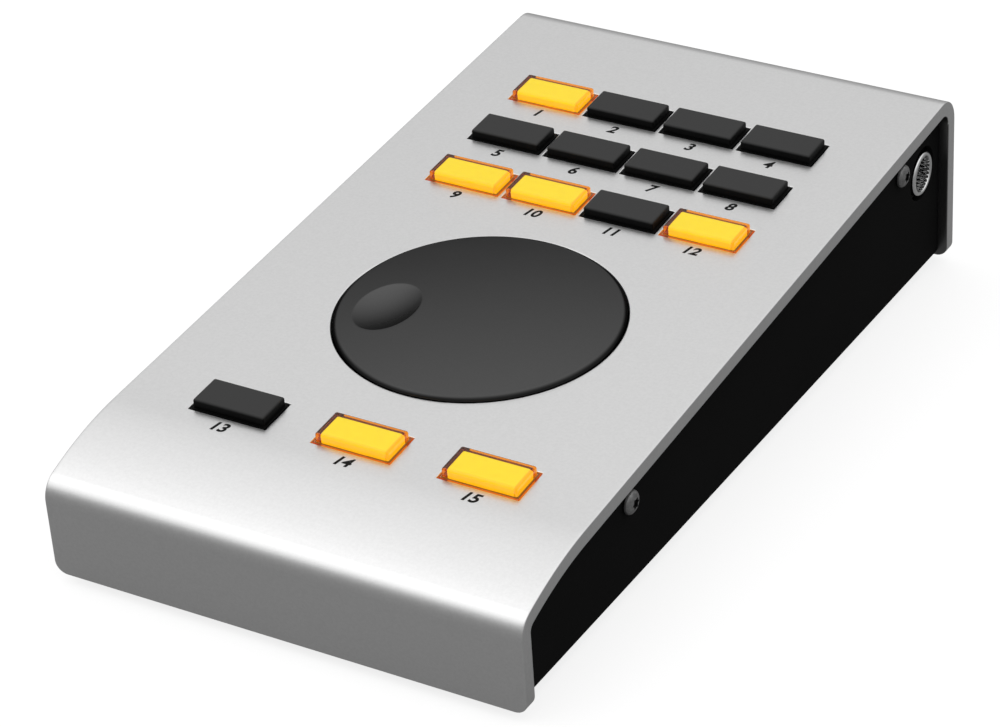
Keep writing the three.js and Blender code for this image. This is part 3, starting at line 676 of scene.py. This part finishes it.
# Rings from the dimple's middle to its oval rim, on to the wheel's round edge, then down and back in.
# The dimple is a ball's cap whose rim is softened: the mean of its depth and of the root of that depth
# squared plus a little. The top falls from its middle to its edge by the crown, with the square of the
# radius, and crownOffset is the part of the crown that stands above top.
def makeWheel():
    turn = np.linspace(0, 2 * math.pi, wheel["rays"], endpoint=False)
    ray = np.stack([np.cos(turn), np.sin(turn)], -1)
    half, depth, reach = np.array(wheel["dimpleHalf"]), wheel["dimpleDepth"], wheel["dimpleReach"]
    radius, top, hub, bore = (wheel[part] for part in ("radius", "top", "hub", "bore"))
    ball = (half[0] ** 2 + depth ** 2) / (2 * depth)
    share = np.concatenate([np.linspace(0, 0.94, 18), np.linspace(0.96, 1.04, 9), [1.06, 1.1, reach]])
    sunk = depth - ball + np.sqrt(ball ** 2 - (half[0] * share) ** 2)
    sunk = (sunk + np.sqrt(sunk ** 2 + 0.02 ** 2)) / 2 * np.clip((reach - share) / 0.05, 0, 1)
    ring = lambda path, height: np.column_stack([path, np.full(len(ray), height)])
    rings = [ring(wheel["dimple"] + ray * half * q, top - d) for q, d in zip(share, sunk)]
    flatRadius = radius - wheel["round"]
    oval = wheel["dimple"] + ray * half * reach
    rings += [ring(oval * (1 - part) + ray * flatRadius * part, top) for part in np.linspace(0, 1, 9)[1:]]
    profile = [(flatRadius + wheel["round"] * math.sin(a), top - wheel["round"] * (1 - math.cos(a)))
               for a in np.linspace(0, math.pi / 2, 11)[1:]]
    under, end, bevel = top - wheel["thickness"], wheel["hubEnd"], wheel["bevel"]
    profile += [(radius, under + 0.2), (radius - 0.06, under + 0.06), (radius - 0.2, under),
                (hub + 0.2, under), (hub, under - 0.2), (hub, end + bevel), (hub - bevel, end),
                (bore + bevel, end), (bore, end + bevel), (bore, wheel["boreTop"]), (0, wheel["boreTop"])]
    rings += [ring(ray * out, height) for out, height in profile]
    places = np.stack(rings)
    away = np.linalg.norm(places[..., :2], axis=-1) / radius
    crown = wheel["crown"] * (wheel["crownOffset"] - away ** 2)
    places[..., 2] += np.where(places[..., 2] > under + 0.5, crown, 0)
    middle = np.array((0, cover["wheelY"], 0))
    # The mark rim rises from 0 to 1 over the first two thirds of the rounded edge, where the finish paints
    # shade
    past = lambda spots: np.linalg.norm((spots - middle)[:, :2], axis=1) - flatRadius
    outer = lambda spots: np.clip(past(spots) / wheel["round"] * 1.5, 0, 1)
    return makePiece("wheel_disc", shell(places + middle), "wheel_grey", "wheel", "jog_wheel", rim=outer)


say("wheel", [makeWheel()])


# Turned shape: radius and height pairs carried round the third axis. lobes gives each pair's radius
# the size of its own waves round the turn.
def turnedRings(profile, count, lobes=(0.0,), waves=6):
    turn = np.linspace(0, 2 * math.pi, count, endpoint=False)
    radius, height = np.array(profile, float).T
    radius = radius[:, None] + np.array(lobes)[:, None] * np.cos(waves * turn)
    height = np.broadcast_to(height[:, None], radius.shape)
    return np.stack([radius * np.cos(turn), radius * np.sin(turn), height], -1)


sideScrew = {"head": 2.3, "height": 1.4, "rim": 0.3, "shank": 1.25, "length": 8.0, "pitch": 0.5,
             "thread": 0.12, "recess": 0.92, "lobe": 0.17, "deep": 0.75, "seat": 46.3, "below": 7.5,
             "places": {"front": 42.4, "rear": 160.8496}}


# Domed head: a quarter ellipse over a low rim, with a six-lobed recess; the shank has thread ridges
def makeSideScrew(name, side, y):
    head, rim, height, recess = (sideScrew[part] for part in ("head", "rim", "height", "recess"))
    shank, length, lobe, seat = (sideScrew[part] for part in ("shank", "length", "lobe", "seat"))
    floor = height - sideScrew["deep"]
    thread = np.arange(-length + 0.3, -0.6, sideScrew["pitch"] / 4)
    wave = np.abs(np.mod(thread / (sideScrew["pitch"] / 2), 2) - 1)
    ridge = shank - sideScrew["thread"] + sideScrew["thread"] * wave
    profile = [(0, -length), (shank - 0.3, -length), *zip(ridge, thread), (shank, -0.4), (shank, 0),
               (head - 0.08, 0), (head, 0.08), (head, rim)]
    limit = math.asin(math.sqrt(1 - ((recess + 0.5) / head) ** 2))
    profile += [(head * math.cos(angle), rim + (height - rim) * math.sin(angle))
                for angle in np.linspace(0, limit, 8)[1:]]
    lobes = [0.0] * len(profile) + [lobe] * 4 + [lobe * 0.6, 0.0]
    lip = rim + (height - rim) * math.sqrt(1 - (recess / head) ** 2)
    profile += [(recess + 0.12, lip - 0.02), (recess + 0.02, lip - 0.08), (recess, lip - 0.2),
                (recess, floor + 0.1), (recess - 0.2, floor), (0, floor - 0.15)]
    rings = turnedRings(profile, 72, lobes)
    below = sideScrew["below"]
    points = np.stack([side * (seat + rings[..., 2]), rings[..., 0] + y, rings[..., 1] - below], -1)
    inner = lambda spots: ((np.hypot(spots[:, 1] - y, spots[:, 2] + below) < recess + lobe + 0.05)
                           & (np.abs(spots[:, 0]) < seat + lip - 0.05))
    return makePiece(f"screw_{name}", shell(points), "black_zinc_steel", "console", f"side_screw_{name}",
                     recess=inner)


say("side screws", [makeSideScrew(f"{end}_{hand}", side, y)
                    for end, y in sideScrew["places"].items() for hand, side in hands.items()])


jack = {"start": 44.2, "y": 171.9, "z": -13.25, "outer": 2.2, "length": 6.6, "radius": 4.65, "mouth": 3.7,
        "mouthDepth": 3.4, "bore": 3.3, "round": 0.6, "bevel": 0.15, "ribs": 28, "ribDepth": 0.15}


# The sleeve's ring has a full round front. Fine ribs run down its mouth along the axis, and it
# narrows to the plug's bore.
def makeSleeve():
    outer, radius, mouth, soft = jack["outer"], jack["radius"], jack["mouth"], jack["round"]
    bore, bevel, deep, end = jack["bore"], jack["bevel"], outer - jack["mouthDepth"], outer - jack["length"]
    turn = np.linspace(0, math.pi / 2, 7)
    inner = radius - soft - mouth
    front = [(radius - soft + soft * math.cos(a), outer - soft + soft * math.sin(a)) for a in turn]
    front += [(mouth + inner * (1 - math.sin(a)), outer - inner * (1 - math.cos(a))) for a in turn[1:]]
    ribbed = [(mouth, height) for height in np.linspace(outer - inner - 0.25, deep, 6)]
    profile = [(radius, end + 0.1), *front, *ribbed, (bore + bevel, deep), (bore, deep - bevel), (bore, end),
               (radius - 0.1, end), (radius, end + 0.1)]
    lobes = [0.0] * (1 + len(front)) + [jack["ribDepth"]] * (len(ribbed) - 1) + [0.0] * 6
    rings = turnedRings(profile, jack["ribs"] * 8, lobes, jack["ribs"])
    points = rings[..., [2, 0, 1]] + (jack["start"], jack["y"], jack["z"])
    return makePiece("jack_ring", shell(points), "polished_nickel", "console", "jack_sleeve")


say("jack", [makeSleeve()])


foot = {"radius": 6.3, "height": 1.85, "edge": 0.6, "places": {"front": -75.4624, "rear": 72.3376}, "x": 34.0}


# Low rubber disc with a rounded lower edge and a slight waist, upright in the world
def makeFoot(name, x, y):
    radius, height, edge = foot["radius"], foot["height"], foot["edge"]
    turn = np.linspace(0, math.pi / 2, 8)
    lower = [(radius - edge + edge * math.sin(a), edge - edge * math.cos(a)) for a in turn]
    profile = [(0, 0), (2.2, 0), (4.4, 0), *lower, (radius - 0.08, height * 0.6), (radius, height - 0.25),
               (radius - 0.06, height - 0.06), (radius - 0.25, height), (3.0, height), (0, height)]
    points = (turnedRings(profile, 72) + (x, y, 0)) * 0.001
    return makePiece(f"pad_{name}", [gridPatch(points, wrap=True)], "foot_rubber", "console", f"foot_{name}")


say("feet", [makeFoot(f"{end}_{hand}", side * foot["x"], y)
             for end, y in foot["places"].items() for hand, side in hands.items()])


# Hidden parts keep their own shape and take a finish
hidden = {"main_board": "board_green", "controller_chip": "chip_black", "encoder_shaft": "bright_steel",
          "encoder_body": "encoder_blue", "encoder_nut": "brass_nut", "jack_body": "socket_black",
          "usb_shell": "bright_steel", "usb_insulator": "socket_black"}
hidden.update({f"switch_{number}": "switch_black" for number in range(1, 16)})
hidden.update({f"board_screw_{end}_{hand}": "bright_steel" for end in ("front", "rear") for hand in hands})
for node, finish in hidden.items():
    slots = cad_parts[node].data.materials
    slots.clear()
    slots.append(finishes[finish])
say("hidden parts", [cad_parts[node] for node in hidden])


# Plain numbers in front of the keys, sheared as slanted lettering, a print's thickness above the deck
numbers = {"size": 3.5, "slant": 0.22, "forward": 7.05, "thick": 0.02, "weight": 0.11, "curveSteps": 6}


# Text made a mesh, then moved to its place in front of the key and carried to the world
def makeNumber(number, place):
    curve = bpy.data.curves.new(f"number_{number}", "FONT")
    curve.body = str(number)
    curve.size = numbers["size"]
    curve.shear = numbers["slant"]
    curve.align_x = "CENTER"
    curve.align_y = "CENTER"
    curve.extrude = numbers["thick"] / 2
    curve.offset = numbers["weight"]
    curve.resolution_u = numbers["curveSteps"]
    text = addObject(f"number_{number}", curve)
    bpy.context.view_layer.update()
    mesh = bpy.data.meshes.new_from_object(text.evaluated_get(bpy.context.evaluated_depsgraph_get()))
    bpy.data.objects.remove(text)
    points = pointsOf(mesh) + (place[0], place[1] - numbers["forward"], numbers["thick"] / 2)
    mesh.vertices.foreach_set("co", deckToWorld(points).astype(np.float32).ravel())
    mesh.materials.clear()
    mesh.materials.append(finishes["number_print"])
    piece = addObject(f"number_{number}", mesh)
    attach(piece, "console")
    return piece


say("numbers", [makeNumber(number, place) for number, place in enumerate(keyPlaces, 1)])


# Turns a thing so that its own axes lie along right, up and back, and moves it to its place
def standAt(thing, place, right, up, back):
    rows = [[right[i], up[i], back[i], place[i]] for i in range(3)]
    thing.matrix_world = Matrix(rows + [[0, 0, 0, 1]])


# Camera solved from the photograph: its lens is for a 36 mm sensor over the photograph's width
view = {"lens": 127.314, "sensor": 36, "near": 0.02, "far": 20, "place": (0.282777, -0.513602, 0.350466),
        "right": (0.87558, 0.48272, -0.01846), "up": (-0.22822, 0.44704, 0.86491),
        "back": (0.42576, -0.75309, 0.50158)}


def makeCamera():
    data = bpy.data.cameras.new("camera")
    data.lens, data.sensor_width = view["lens"], view["sensor"]
    data.clip_start, data.clip_end = view["near"], view["far"]
    camera = addObject("camera", data)
    standAt(camera, view["place"], view["right"], view["up"], view["back"])
    bpy.context.scene.camera = camera


# One wide lamp above the front left corner, turned to the object; metres and watts
softbox = {"place": (-0.55, -0.5, 0.85), "target": (0, 0, 0.02), "size": (1.0, 1.2), "watts": 1.75}


def makeLamp():
    data = bpy.data.lights.new("front_softbox", "AREA")
    data.shape = "RECTANGLE"
    data.size, data.size_y = softbox["size"]
    data.energy = softbox["watts"]
    back = np.array(softbox["place"]) - np.array(softbox["target"])
    back /= np.linalg.norm(back)
    right = np.cross((0, 0, 1), back)
    right /= np.linalg.norm(right)
    standAt(addObject("front_softbox", data), softbox["place"], right, np.cross(back, right), back)


# The floor is white to the camera. In reflections, through clear plastic and in the light that it
# throws back it is dark grey, so that the upright faces stay as grey as in the photograph.
stage = {"half": 6, "cameraBase": 0.3, "cameraGlow": 0.8, "otherBase": 0.1, "mirrorGlow": 0.138,
         "horizon": 0.27, "zenith": 0.69, "extra": 0.37, "extraFrom": 0.38, "extraTo": 0.8}


def makeFloor():
    half = stage["half"]
    mesh = bpy.data.meshes.new("floor")
    corners = [(-half, -half, 0), (half, -half, 0), (half, half, 0), (-half, half, 0)]
    mesh.from_pydata(corners, [], [(0, 1, 2, 3)])
    floor = addObject("floor", mesh)
    tree, shader, _ = startFinish("floor_pale", Roughness=0.9, Specular_IOR_Level=0.0,
                                  Emission_Color=(1, 1, 1, 1))
    seen = addNode(tree, "LightPath").outputs
    base = addTint(tree, seen["Is Camera Ray"], grey(stage["otherBase"]), grey(stage["cameraBase"]))
    mirrored = addMath(tree, "MAXIMUM", seen["Is Glossy Ray"], seen["Is Transmission Ray"])
    glow = addMath(tree, "MAXIMUM", addRange(tree, mirrored, 0, stage["mirrorGlow"], 0, 1),
                   addRange(tree, seen["Is Camera Ray"], 0, stage["cameraGlow"], 0, 1))
    feed(tree, shader, Base_Color=base, Emission_Strength=glow)
    mesh.materials.append(finishes["floor_pale"])


# A white dome, of strength 1 to the camera. Otherwise its strength rises with height, from the
# horizon's to the zenith's, and by the extra between two heights.
def makeWorld():
    world = bpy.data.worlds.new("studio")
    bpy.context.scene.world = world
    world.use_nodes = True
    tree = world.node_tree
    background = tree.nodes["Background"]
    background.inputs["Color"].default_value = (1, 1, 1, 1)
    split = addNode(tree, "SeparateXYZ", [("Vector", addNode(tree, "TexCoord").outputs["Generated"])])
    height = split.outputs["Z"]
    dome = addMath(tree, "ADD", addRange(tree, height, stage["horizon"], stage["zenith"], 0, 1),
                   addRange(tree, height, 0, stage["extra"], stage["extraFrom"], stage["extraTo"]))
    shown = addNode(tree, "Mix", [(0, addNode(tree, "LightPath").outputs["Is Camera Ray"]), (2, dome)])
    shown.inputs[3].default_value = 1
    feed(tree, background, Strength=shown.outputs[0])


makeCamera()
makeLamp()
makeFloor()
makeWorld()
bpy.context.scene.view_settings.view_transform = "Standard"
print("stage: camera, lamp, floor and world")
